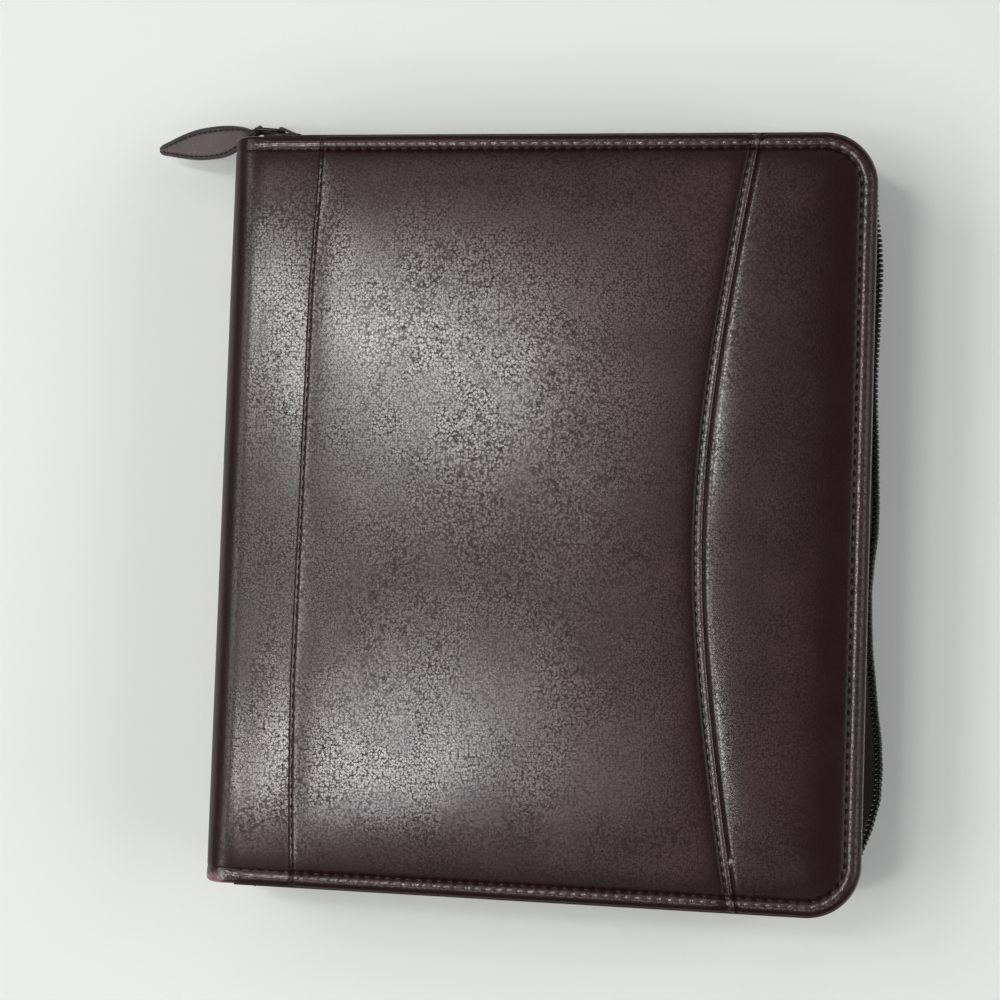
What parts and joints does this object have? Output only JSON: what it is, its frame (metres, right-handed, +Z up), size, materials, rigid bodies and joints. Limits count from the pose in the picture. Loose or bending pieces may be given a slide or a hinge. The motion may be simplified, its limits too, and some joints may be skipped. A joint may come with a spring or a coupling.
{
  "type": "zippered ring planner",
  "caption": "Leather ring planner that zips round three sides, with a curved outer pocket, snap rings, pages, inner pockets and a leather zipper pull.",
  "frame": {"origin": "centre of the back cover's outer face, on which the closed planner lies", "axes": "+Z up through the thickness to the front cover, +Y to the top of the pages, -X to the spine"},
  "size_m": [0.2624, 0.2698, 0.05],
  "materials": {
    "leather": "dark burgundy, fine grain, semi-gloss",
    "lining": "dark burgundy woven lining",
    "board": "grey binder's board",
    "foam": "thin dark padding",
    "zip_tape": "woven tape, dark red-brown",
    "zip_coil": "black-brown nylon coil",
    "dark_metal": "dark antique plating",
    "nickel": "polished nickel plate",
    "paper": "uncoated cream paper",
    "card": "buff index card",
    "clear_plastic": "frosted polypropylene"
  },
  "bodies": {
    "back_cover": {"back_panel": "leather", "back_spine_strip": "leather", "back_foam": "foam", "back_board": "board", "back_lining": "lining", "back_gusset": "leather", "back_zip_tape": "zip_tape", "back_zip_coil": "zip_coil", "zip_bottom_stop": "dark_metal", "ring_rail": "nickel", "top_rivet": "nickel", "bottom_rivet": "nickel", "lower_pages": "paper", "tab_dividers": "card", "pad_backing": "card", "pad_pocket": "lining", "pad_sheets": "paper", "pen_loop": "leather"},
    "spine": {"spine_leather": "leather", "spine_board": "board", "spine_lining": "lining"},
    "front_cover": {"front_middle_panel": "leather", "front_pocket_panel": "leather", "front_spine_strip": "leather", "front_foam": "foam", "front_board": "board", "front_lining": "lining", "front_gusset": "leather", "front_zip_tape": "zip_tape", "front_zip_coil": "zip_coil", "slip_pocket": "lining", "card_slot_1": "lining", "card_slot_2": "lining", "card_slot_3": "lining"},
    "left_rings": {"left_ring_set": "nickel"},
    "right_rings": {"right_ring_set": "nickel"},
    "top_lever": {"top_lever": "nickel"},
    "bottom_lever": {"bottom_lever": "nickel"},
    "turning_pages": {"upper_pages": "paper", "page_finder": "clear_plastic"},
    "slider": {"zipper_slider": "dark_metal"},
    "loop": {"pull_loop": "dark_metal"},
    "pull_tab": {"pull_tab_upper": "leather", "pull_tab_lower": "leather"}
  },
  "joints": [
    {"name": "spine_hinge", "type": "hinge", "parent": "back_cover", "child": "spine", "pos_m": [-0.10658, 0, 0.00297], "axis": [0, -1, 0], "range_deg": [0, 90]},
    {"name": "front_hinge", "type": "hinge", "parent": "spine", "child": "front_cover", "pos_m": [-0.10658, 0, 0.04703], "axis": [0, -1, 0], "range_deg": [0, 90]},
    {"name": "page_turn", "type": "hinge", "parent": "back_cover", "child": "turning_pages", "pos_m": [-0.08, 0, 0.024], "axis": [0, -1, 0], "range_deg": [0, 180]},
    {"name": "left_rings_open", "type": "hinge", "parent": "back_cover", "child": "left_rings", "pos_m": [-0.0909, 0, 0.0074], "axis": [0, -1, 0], "range_deg": [0, 7]},
    {"name": "right_rings_open", "type": "hinge", "parent": "back_cover", "child": "right_rings", "pos_m": [-0.0691, 0, 0.0074], "axis": [0, 1, 0], "range_deg": [0, 7]},
    {"name": "top_lever_tilt", "type": "hinge", "parent": "back_cover", "child": "top_lever", "pos_m": [-0.08, 0.0895, 0.0079], "axis": [-1, 0, 0], "range_deg": [0, 10.5]},
    {"name": "bottom_lever_tilt", "type": "hinge", "parent": "back_cover", "child": "bottom_lever", "pos_m": [-0.08, -0.0895, 0.0079], "axis": [1, 0, 0], "range_deg": [0, 10.5]},
    {"name": "slider_run", "type": "slide", "parent": "back_cover", "child": "slider", "axis": [1, 0, 0], "range_m": [0, 0.165], "deforming": ["front_zip_coil", "back_zip_coil"]},
    {"name": "pull_loop_swing", "type": "hinge", "parent": "slider", "child": "loop", "pos_m": [-0.09855, 0.13405, 0.025], "axis": [0, 0, -1], "range_deg": [0, 165]},
    {"name": "pull_tab_swing", "type": "hinge", "parent": "loop", "child": "pull_tab", "pos_m": [-0.10822, 0.13479, 0.025], "axis": [0, 0, 1], "range_deg": [-15, 25]}
  ],
  "couplings": [
    {"joint": "front_hinge", "follows": "spine_hinge", "ratio": 1},
    {"joint": "page_turn", "follows": "spine_hinge", "ratio": 2},
    {"joint": "right_rings_open", "follows": "left_rings_open", "ratio": 1},
    {"joint": "top_lever_tilt", "follows": "left_rings_open", "ratio": 1.5},
    {"joint": "bottom_lever_tilt", "follows": "left_rings_open", "ratio": 1.5},
    {"joint": "pull_loop_swing", "follows": "slider_run", "rad_per_m": 17.45}
  ]
}
